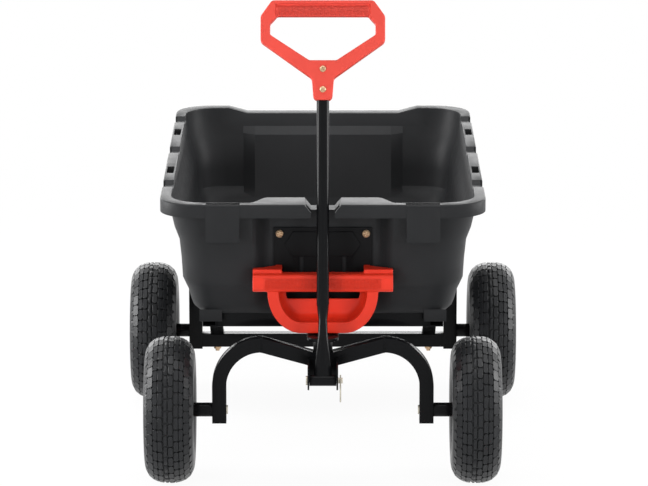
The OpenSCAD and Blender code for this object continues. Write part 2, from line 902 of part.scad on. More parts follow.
module lip_section(grow) {
    polygon([
        [-lip_top_w / 2 - grow, tub_z1], [-lip_w / 2 - grow, tub_z1 - lip_drop - grow],
        [lip_w / 2 + grow, tub_z1 - lip_drop - grow], [lip_top_w / 2 + grow, tub_z1]
    ]);
}

// Outside of the walls at one height, drawn in from the rim
function wall_share(z) = lookup(z, [
    for (k = [0 : wall_top]) [tub_z0 + wall_rise_shares[k] * tub_h, wall_inset_shares[k]]
]);
function front_wall(z) = wall_share(z) * front_inset;
function rear_wall(z) = tub_len - wall_share(z) * rear_inset;
rim_in = tub_w / 2 - wall_inset_shares[wall_top] * floor_inset - tub_wall;
rear_in = rear_wall(tub_z1) - tub_wall;

// Blind pockets in the rim, under the slots
module side_pockets(grow, z0, z1) {
    x1 = tub_w / 2 - slot_inset + grow;
    both_sides() for (s = side_slot_shares) {
        block([rim_in + slot_inset - grow, s * tub_len - slot_len / 2 - grow, z0],
              [x1, s * tub_len + slot_len / 2 + grow, z1]);
    }
}

module front_pockets(z0, z1) {
    mid = front_slot_share * tub_w / 2;
    both_sides()
        block([mid - slot_len / 2, slot_inset, z0], [mid + slot_len / 2, slot_inset + slot_w, z1]);
}

// Saddles along the side rims: the cut, and the sheet and skirt that line it
module dip_cuts() {
    both_sides() for (s = dip_shares) {
        block([tub_w / 2 - dip_in, s * tub_len - dip_len / 2, tub_z1 - skirt_h - cut],
              [tub_w / 2 + cut, s * tub_len + dip_len / 2, tub_z1 + cut]);
    }
}

module dip_linings() {
    x1 = tub_w / 2 - dip_in;
    both_sides() for (s = dip_shares) {
        block([x1 - tub_wall, s * tub_len - dip_len / 2 - tub_wall, tub_z1 - skirt_h],
              [x1, s * tub_len + dip_len / 2 + tub_wall, tub_z1 - rim_round]);
        translate([0, s * tub_len, 0]) along_x(rim_in, x1) dip_section(tub_wall);
    }
}

module dip_hollows() {
    both_sides() for (s = dip_shares) {
        translate([0, s * tub_len, 0]) along_x(rim_in - tub_wall - cut, tub_w / 2 + cut) dip_section(0);
    }
}

// Raised panel on the inside of the rear wall, with a sloping ledge
module back_panel() {
    z = [for (share = back_panel_shares) tub_z0 + share * tub_h];
    deep = [0, back_panel_deep, 0];
    steps = [for (k = [wall_top : -1 : 0])
        if (wall_rise_shares[k] > back_panel_shares[0] && wall_rise_shares[k] < back_panel_shares[2])
            tub_z0 + wall_rise_shares[k] * tub_h];
    along_x(-back_panel_w / 2, back_panel_w / 2) polygon(concat(
        [for (i = [0 : 2]) [rear_wall(z[i]) - tub_wall / 2 - deep[i], z[i]]],
        [for (h = steps) [rear_wall(h) - tub_wall / 2, h]]));
}

module tub() {
    wall_y = alcove_deep + tub_wall;
    pad_low = tub_z1 - skirt_h - pad_drop;
    pad_top = tub_z1 - rim_round;
    color("#262626") difference() {
        union() {
            difference() {
                tub_shell();
                dip_cuts();
                along_y(-cut, wall_y + cut) rest_section(0);
                block([-rest_w / 2, -cut, tub_z1 - skirt_h - cut], [rest_w / 2, rest_y, tub_z1]);
            }
            dip_linings();
            side_pockets(slot_floor, tub_z1 - skirt_h, tub_z1 - rim_round);
            along_y(rear_in, tub_len - tub_wall) lip_section(tub_wall);
            along_y(rest_y, wall_y) difference() {
                rest_section(tub_wall);
                rest_section(0);
            }
            back_panel();
            block([-floor_panel_half, floor_panel_y0, tub_z0 + tub_wall / 2],
                  [floor_panel_half, floor_panel_y1, tub_z0 + tub_wall + floor_panel_rise]);
            both_sides() {
                along_x(pad_in_share * tub_w / 2, pad_out_share * tub_w / 2) polygon([
                    [pad_y0, pad_low], [front_wall(pad_low) + pad_sink, pad_low],
                    [front_wall(pad_top) + pad_sink, pad_top], [pad_y0, pad_top]
                ]);
                along_x(foot_in, foot_out) polygon([
                    [foot_y0, tub_z0 - foot_drop], [foot_y1, tub_z0 - foot_drop],
                    [foot_y1, tub_z0 + tub_wall / 2], [foot_y0, tub_z0 + wall_rise_shares[1] * tub_h]
                ]);
            }
        }
        dip_hollows();
        along_y(rear_in - tub_wall - cut, tub_len + cut) lip_section(0);
        side_pockets(0, tub_z1 - skirt_h + slot_floor, tub_z1 + cut);
        front_pockets(pad_low + pad_floor, tub_z1 + cut);
        floor_bolt_holes(floor_bolt_d + 2 * run_gap, tub_z0 - cut, tub_z0 + tub_wall + cut);
        both_sides() rod_y(plate_screw_d + 2 * run_gap, alcove_deep - cut, wall_y + cut,
                           plate_screw_x, front_plate_z1 - plate_screw_drop);
    }
}

bracket_x1 = rail_in - bracket_gap;
bracket_x0 = bracket_x1 - bracket_flange;
floor_panel_half = bracket_x0 - floor_panel_gap;
floor_bolt_x = (bracket_x0 + bracket_x1 - bracket_t) / 2;

module floor_bolt_holes(d, z0, z1) {
    both_sides() for (s = [-1, 1]) {
        rod_z(d, z0, z1, floor_bolt_x, wheelbase + s * floor_bolt_apart / 2);
    }
}

// Angle bracket under the floor, with the eye that turns on the pivot rod
module hinge_brackets() {
    top = tub_z0;
    color("#1a1a1a") difference() {
        both_sides() {
            along_x(bracket_x1 - bracket_t, bracket_x1) {
                translate([wheelbase, rail_z]) circle(bracket_r);
                translate([wheelbase - bracket_len / 2, rail_z]) square([bracket_len, top - rail_z]);
            }
            block([bracket_x0, wheelbase - bracket_len / 2, top - bracket_sheet],
                  [bracket_x1, wheelbase + bracket_len / 2, top]);
        }
        both_sides() rod_x(pivot_d + 2 * run_gap, bracket_x1 - bracket_t - cut, bracket_x1 + cut, wheelbase, rail_z);
        floor_bolt_holes(floor_bolt_d + 2 * run_gap, top - bracket_sheet - cut, top + cut);
    }
}

module floor_bolts() {
    floor_top = tub_z0 + tub_wall;
    nut_top = tub_z0 - bracket_sheet;
    color("#c9b060") {
        floor_bolt_holes(floor_bolt_d, nut_top - floor_bolt_tail, floor_top);
        floor_bolt_holes(floor_bolt_head, floor_top, floor_top + floor_bolt_head_t);
        both_sides() for (s = [-1, 1]) {
            translate([floor_bolt_x, wheelbase + s * floor_bolt_apart / 2, nut_top - floor_bolt_head_t])
                cylinder(d = floor_bolt_head, h = floor_bolt_head_t, $fn = 6);
        }
    }
}

// Cover plate in the alcove, with a bare raised panel and the ears of the latch

module front_plate() {
    panel_z = front_plate_z1 - panel_drop - panel_h / 2;
    slot_h = release_travel + guide_d + 2 * guide_gap + guide_spare;
    color("#202020") difference() {
        union() {
            block([-front_plate_w / 2, front_plate_y0, front_plate_z0],
                  [front_plate_w / 2, front_plate_y1, front_plate_z1]);
            along_y(front_plate_y0 - panel_t, front_plate_y0) polygon([
                [-panel_w / 2, panel_z], [-panel_w / 2 + panel_point, panel_z - panel_h / 2],
                [panel_w / 2 - panel_point, panel_z - panel_h / 2], [panel_w / 2, panel_z],
                [panel_w / 2 - panel_point, panel_z + panel_h / 2], [-panel_w / 2 + panel_point, panel_z + panel_h / 2]
            ]);
            both_sides() along_x(latch_ear_in, latch_ear_in + latch_ear_t) {
                translate([latch_y, latch_z]) circle(latch_ear_r);
                translate([latch_y, latch_z - latch_ear_r]) square([front_plate_y0 - latch_y, 2 * latch_ear_r]);
            }
        }
        both_sides() {
            along_y(front_plate_y0 - panel_t - cut, front_plate_y1 + cut)
                translate([guide_x, guide_z + (release_travel + guide_spare) / 2])
                    round_rect(guide_d + 2 * guide_gap, slot_h, guide_d / 2);
            rod_y(plate_screw_d + 2 * run_gap, front_plate_y0 - panel_t - cut, front_plate_y1 + cut,
                  plate_screw_x, front_plate_z1 - plate_screw_drop);
        }
        rod_x(latch_pin_d + 2 * run_gap, -latch_ear_in - 2 * latch_ear_t, latch_ear_in + 2 * latch_ear_t, latch_y, latch_z);
    }
}

module plate_screws() {
    z = front_plate_z1 - plate_screw_drop;
    color("#c9b060") both_sides() {
        rod_y(plate_screw_d, front_plate_y0, alcove_deep + tub_wall, plate_screw_x, z);
        rod_y(plate_screw_head, front_plate_y0 - plate_screw_head_t, front_plate_y0, plate_screw_x, z);
    }
}

module latch_pin() {
    side = latch_ear_in + latch_ear_t;
    color("#b9b9b9") rod_x(latch_pin_d, -side, side, latch_y, latch_z);
}

// Catch that hangs from the plate's ears, with its nose at the keeper on the frame
module latch_hook() {
    color("#8d8d8d") difference() {
        along_x(-hook_half, hook_half) {
            translate([latch_y, latch_z]) circle(hook_r);
            translate([hook_y0, hook_z0]) square([hook_t, latch_z - hook_z0]);
            translate([hook_y0, hook_z0]) square([nose_y1 - hook_y0, nose_h]);
        }
        rod_x(latch_pin_d + 2 * run_gap, -hook_half - cut, hook_half + cut, latch_y, latch_z);
    }
}

// Release handle: a bar to pull, a finger scoop under it and a carrier that runs on the plate

// Scoop outline up to one height: a flat foot between two quarter ovals
module scoop_outline(inset, top) {
    intersection() {
        polygon([for (side = [1, -1], i = [0 : scoop_steps])
            let (a = side > 0 ? 90 * i / scoop_steps - 90 : -90 * i / scoop_steps)
            [side * (scoop_flat + (scoop_r - scoop_flat - inset) * cos(a)), bar_z0 + (scoop_h - inset) * sin(a)]]);
        translate([-scoop_r, scoop_z0]) square([2 * scoop_r, top - scoop_z0]);
    }
    if (top > bar_z0) {
        translate([inset - scoop_r, bar_z0]) square([2 * (scoop_r - inset), top - bar_z0]);
    }
}

module release_handle() {
    carrier_y0 = front_plate_y0 - seat_gap - panel_t - carrier_t;
    carrier_y1 = carrier_y0 + carrier_t;
    arm_z = bar_z0 + arm_low;
    bar_mid = bar_y0 + bar_t / 2;
    color("#e0443a") {
        along_x(-bar_len / 2, bar_len / 2)
            translate([bar_mid, bar_z0 + bar_h / 2]) round_rect(bar_t, bar_h, bar_round);
        along_y(scoop_y0, scoop_y1) difference() {
            scoop_outline(0, bar_z0 + scoop_lap);
            scoop_outline(scoop_band, bar_z0 + scoop_lap + cut);
        }
        along_y(scoop_y1 - scoop_back, scoop_y1) scoop_outline(0, bar_z0 - scoop_gap);
        block([-scoop_rib / 2, scoop_y1 - scoop_rib_deep, scoop_z0 + scoop_band / 2],
              [scoop_rib / 2, scoop_y1, bar_z0 + scoop_lap]);
        both_sides() {
            translate([0, 0, arm_z]) linear_extrude(bar_h - arm_low + arm_high) polygon([
                [arm_in, bar_mid], [bar_len / 2, bar_mid], [bar_len / 2, bar_y0 + bar_t],
                [arm_turn, arm_y1], [arm_foot, carrier_y0], [arm_foot, carrier_y1], [arm_in, carrier_y1]
            ]);
            rod_y(guide_d, carrier_y0, front_plate_y1 - seat_gap, guide_x, guide_z);
        }
        block([-arm_foot, carrier_y0, bar_z0 + carrier_low], [arm_foot, carrier_y1, bar_z0 + carrier_low + carrier_h]);
    }
}

// Everything stands on the ground with its box centred on the origin
module cart() {
    translate([0, y_shift, 0]) children();
}

cart() side_rails();
cart() front_cross_member();
cart() rear_cross_member();
cart() kingpin_plate();
cart() kingpin();
cart() kingpin_washers();
cart() kingpin_nut();
cart() latch_keeper();
cart() rear_beam();
cart() rear_posts();
cart() braces();
cart() brace_bolts();
cart() pivot_rod();
cart() pivot_spacers();
cart() stub_axle(post_in, rear_half_track, wheelbase);  // rear_stub_axles
cart() hub_spacer(post_out, rear_half_track, wheelbase);  // rear_spacers
cart() retainers(rear_half_track, wheelbase);  // rear_axle_retainers
cart() front_crossbar();
cart() mirror([1, 0, 0]) front_leg();  // front_left_leg
cart() front_leg();  // front_right_leg
cart() kingpin_sleeve();
cart() handle_clevis();
cart() clevis_pin();
cart() hairpin_clip();
cart() stub_axle(leg_x - tube / 2 - axle_show, front_half_track, 0);  // front_stub_axles
cart() hub_spacer(leg_x + tube / 2, front_half_track, 0);  // front_spacers
cart() retainers(front_half_track, 0);  // front_axle_retainers
cart() handle_shaft();
cart() handle_bush();
cart() d_grip();
cart() grip_screws();
cart() tub();
cart() hinge_brackets();
cart() floor_bolts();
cart() front_plate();
cart() plate_screws();
cart() latch_pin();
cart() latch_hook();
cart() release_handle();
for (w = WHEELS) {
    cart() at_wheel(w) tyre();
    cart() at_wheel(w) rim_half();
    cart() at_wheel(w) mirror([0, 0, 1]) rim_half();
    cart() at_wheel(w) hub();
    cart() at_wheel(w) rim_bolts();
}
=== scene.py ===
"""Looks of a tipping dump cart: rounded frame tubes, moulded tub, red grips, treaded tyres and a studio."""
import json
import math

import bpy
from bpy.props import FloatProperty, FloatVectorProperty, IntProperty, PointerProperty
from mathutils import Matrix, Vector


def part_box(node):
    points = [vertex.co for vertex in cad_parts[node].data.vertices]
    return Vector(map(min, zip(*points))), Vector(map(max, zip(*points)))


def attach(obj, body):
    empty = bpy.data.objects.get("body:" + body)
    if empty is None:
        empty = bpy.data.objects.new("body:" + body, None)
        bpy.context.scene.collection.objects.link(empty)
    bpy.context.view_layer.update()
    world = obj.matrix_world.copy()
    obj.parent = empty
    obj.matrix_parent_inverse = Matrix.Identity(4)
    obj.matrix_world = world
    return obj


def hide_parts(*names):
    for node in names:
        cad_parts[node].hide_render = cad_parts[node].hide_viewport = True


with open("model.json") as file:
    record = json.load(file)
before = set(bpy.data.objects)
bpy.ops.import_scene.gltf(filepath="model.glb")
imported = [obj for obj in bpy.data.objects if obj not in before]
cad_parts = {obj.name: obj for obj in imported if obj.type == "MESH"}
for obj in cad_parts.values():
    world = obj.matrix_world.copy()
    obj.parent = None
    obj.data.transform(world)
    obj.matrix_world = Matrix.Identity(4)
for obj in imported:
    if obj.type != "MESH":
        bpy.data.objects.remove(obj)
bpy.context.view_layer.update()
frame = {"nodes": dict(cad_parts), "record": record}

bl_info = {
    "name": "Tipping Dump Cart",
    "version": (1, 0, 0),
    "blender": (4, 5, 0),
    "location": "View3D > Sidebar > Cart",
    "description": "Dresses the frame of a tipping dump cart and lights it",
    "category": "Object",
}

BODY_OF = {n: b for b, ns in frame["record"]["behaviour"]["bodies"].items() for n in ns}
SLOT_OF = {p["node"]: p["material_slot"] for p in frame["record"]["subparts"]}
WHEELS = ("front_left", "front_right", "rear_left", "rear_right")
MM = 0.001
# Points nearer than MERGE become one, and a turned outline meets its axis at the radius POLE
MERGE = 0.02 * MM
POLE = 0.01 * MM
# Knurl of the red grips: radians per metre across its diamonds, and its depth against the grain's
KNURL_TURNS = 1250
KNURL_DEEP = 2.6


def colour(name, text, value):
    """A colour that a user may change."""
    return FloatVectorProperty(name=name, description=text, subtype="COLOR", size=3,
                               min=0, max=1, default=value)


def length(name, text, value):
    """A length that a user may change, in metres."""
    return FloatProperty(name=name, description=text, default=value, min=0, unit="LENGTH", precision=4)


class CartFinishes(bpy.types.PropertyGroup):
    """Colours of the cart."""
    tub: colour("Tub", "Moulded black plastic of the tub", (0.016, 0.0165, 0.0176))
    plate: colour("Plate", "Plastic of the plate in the alcove", (0.007, 0.007, 0.0075))
    paint: colour("Frame paint", "Gloss black paint on the steel", (0.0045, 0.0047, 0.0052))
    grip: colour("Grip", "Red plastic of the pull handle", (0.60, 0.050, 0.033))
    release: colour("Release handle", "Red plastic of the release handle", (0.58, 0.026, 0.010))
    rim: colour("Rims", "Red paint on the wheel rims", (0.55, 0.022, 0.018))
    rubber: colour("Rubber", "Dark grey rubber of the tyres", (0.010, 0.0105, 0.0115))
    steel: colour("Steel", "Bare steel pins and rods", (0.60, 0.56, 0.47))
    zinc: colour("Zinc", "Pale zinc washers", (0.66, 0.62, 0.52))
    yellow: colour("Yellow zinc", "Yellow passivated bolts and screws", (0.60, 0.41, 0.25))
    floor: colour("Floor", "Pale studio floor", (0.9, 0.9, 0.9))


class CartSizes(bpy.types.PropertyGroup):
    """Sizes of the dressed pieces."""
    tube_round: length("Tube corner", "Rounding of the steel tube's corners", 2.4 * MM)
    mould_round: length("Mould edge", "Rounding of the tub's edges", 1.6 * MM)
    plate_round: length("Plate edge", "Rounding of the front plate's edges", 0.8 * MM)
    skin_cell: length("Grip skin", "Fineness of the red grips' skin", 1.1 * MM)
    bolt_round: length("Bolt edge", "Rounding of bolts, nuts and washers", 0.5 * MM)
    bead_d: length("Bead seat", "Diameter of the rim under the tyre", 101.6 * MM)
    tread_deep: length("Tread depth", "Height of the tread blocks", 3.0 * MM)
    tread_count: IntProperty(name="Tread pitches", description="Tread blocks round a tyre",
                             default=37, min=12)
    camera_lens: FloatProperty(name="Lens", description="Focal length on a 36 mm sensor", default=227.8)


def finishes():
    return bpy.context.scene.cart_finishes


def sizes():
    return bpy.context.scene.cart_sizes


# Shader maths

class Sock:
    """A shader socket on which sums can be written."""

    def __init__(self, tree, socket):
        self.tree = tree
        self.socket = socket

    def math(self, operation, first, second):
        node = self.tree.nodes.new("ShaderNodeMath")
        node.operation = operation
        for place, value in enumerate((first, second)):
            if isinstance(value, Sock):
                self.tree.links.new(value.socket, node.inputs[place])
            else:
                node.inputs[place].default_value = value
        return Sock(self.tree, node.outputs[0])

    def __add__(self, other):
        return self.math("ADD", self, other)

    def __radd__(self, other):
        return self.math("ADD", other, self)

    def __sub__(self, other):
        return self.math("SUBTRACT", self, other)

    def __rsub__(self, other):
        return self.math("SUBTRACT", other, self)

    def __mul__(self, other):
        return self.math("MULTIPLY", self, other)

    def __rmul__(self, other):
        return self.math("MULTIPLY", other, self)

    def sine(self):
        return self.math("SINE", self, 0.0)

    def clamp(self, low, high):
        return self.math("MINIMUM", self.math("MAXIMUM", self, low), high)


class Finish:
    """A new material, whose nodes are added one call at a time."""

    def __init__(self, name):
        self.material = bpy.data.materials.new(name)
        self.material.use_nodes = True
        self.tree = self.material.node_tree
        self.tree.nodes.clear()
        self.place = self.node("ShaderNodeTexCoord", output="Object")

    def node(self, kind, settings=None, inputs=None, output=0):
        node = self.tree.nodes.new(kind)
        for key, value in (settings or {}).items():
            setattr(node, key, value)
        for key, value in (inputs or {}).items():
            if isinstance(value, Sock):
                self.tree.links.new(value.socket, node.inputs[key])
            else:
                node.inputs[key].default_value = value
        return Sock(self.tree, node.outputs[output])

    def axis(self, name):
        return self.node("ShaderNodeSeparateXYZ", None, {"Vector": self.place}, output=name)

    def noise(self, scale, detail=2.0, rough=0.5):
        return self.node("ShaderNodeTexNoise", None,
                         {"Vector": self.place, "Scale": scale, "Detail": detail, "Roughness": rough})

    def mix(self, factor, first, second):
        return self.node("ShaderNodeMix", {"data_type": "RGBA"},
                         {0: factor, 6: first, 7: second}, output=2)

    def bump(self, height, distance):
        return self.node("ShaderNodeBump", None, {"Height": height, "Distance": distance, "Strength": 1.0})

    def surface(self, shader):
        out = self.tree.nodes.new("ShaderNodeOutputMaterial")
        self.tree.links.new(shader.socket, out.inputs["Surface"])
        return self.material

    def principled(self, **inputs):
        named = {key.replace("_", " "): value for key, value in inputs.items()}
        return self.surface(self.node("ShaderNodeBsdfPrincipled", None, named))


def rgba(value, gain=1.0):
    """A colour made darker or paler, with its alpha."""
    return (*[min(1.0, channel * gain) for channel in value], 1.0)


def band(f, axis, low, high, soft):
    """One inside a range of a coordinate, zero outside it."""
    place = f.axis(axis)
    rise = ((place - low) * (1 / soft)).clamp(0, 1)
    return rise * ((high - place) * (1 / soft)).clamp(0, 1)


def moulded_plastic(name, value, rough, grain, depth, gleam, knurl=None):
    """Plastic from a grained mould, a little uneven in colour and sheen.

    A knurl is given by its lowest and highest place and its half width, in metres. Its band gets painted
    shade, darkest down in the knurl's hollows.
    """
    f = Finish(name)
    height = f.noise(grain, 3, 0.6)
    tone = f.mix(f.noise(9, 4), rgba(value, 0.82), rgba(value, 1.22))
    if knurl:
        low, high, half = knurl
        across, up = f.axis("X") * KNURL_TURNS, f.axis("Z") * KNURL_TURNS
        first, second = across + up, across - up
        diamonds = first.sine() * second.sine()
        inside = band(f, "Z", low, high, 2 * MM) * band(f, "X", -half, half, 4 * MM)
        height = height + KNURL_DEEP * diamonds * inside
        # Painted shade: the knurled band is painted darker, as if in the shadow of its recess, and darkest in
        # the knurl's hollows
        tone = f.mix(inside * (0.4 - 0.4 * diamonds), tone, rgba(value, 0.78))
    return f.principled(Base_Color=tone, Roughness=rough - 0.08 + 0.16 * f.noise(35, 3),
                        Specular_IOR_Level=gleam, Normal=f.bump(height, depth))


def gloss_paint(name, value, rough, gleam, coat):
    """Powder coat with a faint orange peel."""
    f = Finish(name)
    peel = f.noise(420, 2, 0.4)
    tone = f.mix(f.noise(14, 3), rgba(value, 0.85), rgba(value, 1.25))
    return f.principled(Base_Color=tone, Roughness=rough + 0.12 * (f.noise(60, 3) - 0.5),
                        Specular_IOR_Level=gleam, Coat_Weight=coat, Coat_Roughness=0.12,
                        Normal=f.bump(peel, 0.06 * MM))


def plated_metal(name, value, rough):
    """Zinc or bare steel with fine scratches and dull patches."""
    f = Finish(name)
    patch = f.noise(160, 4)
    tone = f.mix(patch, rgba(value, 0.7), rgba(value, 1.15))
    return f.principled(Base_Color=tone, Metallic=0.7, Roughness=rough + 0.2 * (patch - 0.5),
                        Normal=f.bump(f.noise(900, 2), 0.05 * MM))


def tyre_rubber(name, value):
    """Matt rubber, paler where it is dusty, with painted shade down in the grooves."""
    f = Finish(name)
    dust = f.noise(28, 5, 0.65)
    tone = f.mix(dust, rgba(value, 0.6), rgba(value, 2.0))
    # Painted shade: an ambient occlusion node darkens the rubber down in the grooves between the blocks
    painted_shade_ao = f.node("ShaderNodeAmbientOcclusion", {"only_local": True, "samples": 8},
                 {"Distance": 4 * MM}, output="AO")
    tone = f.mix(painted_shade_ao, rgba(value, 0.1), tone)
    return f.principled(Base_Color=tone, Roughness=0.36 + 0.3 * (dust - 0.5),
                        Specular_IOR_Level=0.2, Normal=f.bump(f.noise(700, 3), 0.12 * MM))


def make_finishes():
    """One material for each slot of the record."""
    c = finishes()
    return {
        "frame_black": gloss_paint("black_powder_coat", c.paint, rough=0.24, gleam=0.06, coat=0.04),
        "bare_steel": plated_metal("bare_steel", c.steel, rough=0.34),
        "washer_zinc": plated_metal("pale_zinc", c.zinc, rough=0.38),
        "yellow_zinc": plated_metal("yellow_zinc", c.yellow, rough=0.32),
        "tub_plastic": moulded_plastic("tub_plastic", c.tub, rough=0.46, grain=900,
                                       depth=0.18 * MM, gleam=0.14),
        "plate_plastic": moulded_plastic("plate_plastic", c.plate, rough=0.42, grain=1100,
                                         depth=0.12 * MM, gleam=0.06),
        "grip_red": moulded_plastic("grip_plastic", c.grip, rough=0.42, grain=1000,
                                    depth=0.25 * MM, gleam=0.4, knurl=(0.818, 0.837, 0.082)),
        "release_red": moulded_plastic("release_plastic", c.release, rough=0.40, grain=1000,
                                       depth=0.25 * MM, gleam=0.3, knurl=(0.346, 0.368, 0.105)),
        "tyre_rubber": tyre_rubber("tyre_rubber", c.rubber),
        "rim_red": gloss_paint("rim_enamel", c.rim, rough=0.26, gleam=0.4, coat=0.35),
    }


FINISH = {}


# Shared modelling steps

def only(obj):
    """Makes one object the active and only selected one."""
    bpy.ops.object.select_all(action="DESELECT")
    obj.select_set(True)
    bpy.context.view_layer.objects.active = obj
    return obj


def edit(obj):
    """Enters edit mode with all of a mesh selected."""
    only(obj)
    bpy.ops.object.mode_set(mode="EDIT")
    bpy.ops.mesh.select_all(action="SELECT")


def leave():
    bpy.ops.object.mode_set(mode="OBJECT")


def modify(obj, kind, **settings):
    """Adds a modifier with these settings and applies it."""
    only(obj)
    modifier = obj.modifiers.new(kind.lower(), kind)
    for key, value in settings.items():
        setattr(modifier, key, value)
    bpy.ops.object.modifier_apply(modifier=modifier.name)


def face_out(obj):
    """Turns the faces of a closed mesh outwards."""
    edit(obj)
    bpy.ops.mesh.normals_make_consistent(inside=False)
    leave()
    return obj


def bevel(obj, width, segments=2, angle=35):
    """Rounds the edges that are sharper than an angle."""
    modify(obj, "BEVEL", width=width, segments=segments, limit_method="ANGLE",
           angle_limit=math.radians(angle), use_clamp_overlap=True)


def smooth(obj, angle=35):
    only(obj)
    bpy.ops.object.shade_smooth_by_angle(angle=math.radians(angle))


def new_mesh(name, points, edges, faces):
    mesh = bpy.data.meshes.new(name)
    mesh.from_pydata(points, edges, faces)
    obj = bpy.data.objects.new(name, mesh)
    bpy.context.scene.collection.objects.link(obj)
    return obj


def finish_piece(obj, slot, body, nodes=()):
    """Gives a piece its finish and its body, and hides the nodes that it stands in for."""
    obj.data.materials.clear()
    obj.data.materials.append(FINISH[slot])
    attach(obj, body)
    if nodes:
        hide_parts(*nodes)
    return obj


def merged_copy(node):
    """A copy of a node with its doubled points merged and its flat faces joined."""
    mesh = frame["nodes"][node].data.copy()
    obj = bpy.data.objects.new(node + "_rounded", mesh)
    bpy.context.scene.collection.objects.link(obj)
    edit(obj)
    bpy.ops.mesh.remove_doubles(threshold=MERGE)
    bpy.ops.mesh.dissolve_limited(angle_limit=math.radians(0.5))
    leave()
    return obj


def round_off(obj, node, width, segments=2, angle=35):
    """Rounds the hard edges of a copy, which then stands for its node."""
    bevel(obj, width, segments, angle)
    smooth(obj, angle)
    return finish_piece(obj, SLOT_OF[node], BODY_OF[node], [node])


def rounded_copy(node, width, segments=2, angle=35):
    return round_off(merged_copy(node), node, width, segments, angle)


def joined(objs):
    """Joins meshes into the first of them."""
    bpy.ops.object.select_all(action="DESELECT")
    for obj in objs:
        obj.select_set(True)
    bpy.context.view_layer.objects.active = objs[0]
    bpy.ops.object.join()
    return objs[0]


def moulded_skin(obj, cell, passes):
    """Remakes a mesh as an even skin and softens all its edges, as a mould does."""
    modify(obj, "REMESH", mode="VOXEL", voxel_size=cell)
    modify(obj, "SMOOTH", factor=0.5, iterations=passes)
    modify(obj, "DECIMATE", ratio=0.4)
    only(obj)
    bpy.ops.object.shade_smooth()


def slab(low, high):
    """A box between two corners."""
    bpy.ops.object.select_all(action="DESELECT")
    bpy.ops.mesh.primitive_cube_add(size=1)
    obj = bpy.context.object
    low, high = Vector(low), Vector(high)
    size = high - low
    obj.data.transform(Matrix.Translation((low + high) / 2) @ Matrix.Diagonal((*size, 1)))
    return obj


def lathe(name, profile, steps):
    """Turns a closed [radius, along] outline round X."""
    points = [(u, 0, r) for r, u in profile]
    edges = [(i, (i + 1) % len(points)) for i in range(len(points))]
    obj = new_mesh(name, points, edges, [])
    edit(obj)
    bpy.ops.mesh.spin(steps=steps, angle=2 * math.pi, center=(0, 0, 0), axis=(1, 0, 0))
    bpy.ops.mesh.select_all(action="SELECT")
    bpy.ops.mesh.remove_doubles(threshold=MERGE)
    bpy.ops.mesh.normals_make_consistent(inside=False)
    bpy.ops.mesh.delete_loose(use_verts=True, use_edges=True, use_faces=False)
    leave()
    return obj


def put(obj, name, matrix):
    """A copy of an object with its own mesh, placed by a matrix."""
    mesh = obj.data.copy()
    mesh.transform(matrix)
    copy = bpy.data.objects.new(name, mesh)
    bpy.context.scene.collection.objects.link(copy)
    return copy


def chamfer(obj, width, wanted):
    """Cuts off the edges of a mesh whose two ends pass a test."""
    edit(obj)
    bpy.ops.mesh.select_all(action="DESELECT")
    leave()
    points = obj.data.vertices
    for edge in obj.data.edges:
        edge.select = wanted(*[points[i].co for i in edge.vertices])
    bpy.ops.object.mode_set(mode="EDIT")
    bpy.ops.mesh.select_mode(type="EDGE")
    bpy.ops.mesh.bevel(offset=width, segments=1, affect="EDGES", clamp_overlap=False)
    leave()


def middle(node):
    """Middle of a node's box."""
    low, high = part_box(node)
    return (Vector(low) + Vector(high)) / 2


def drop(*objs):
    for obj in objs:
        bpy.data.objects.remove(obj)


# Operators

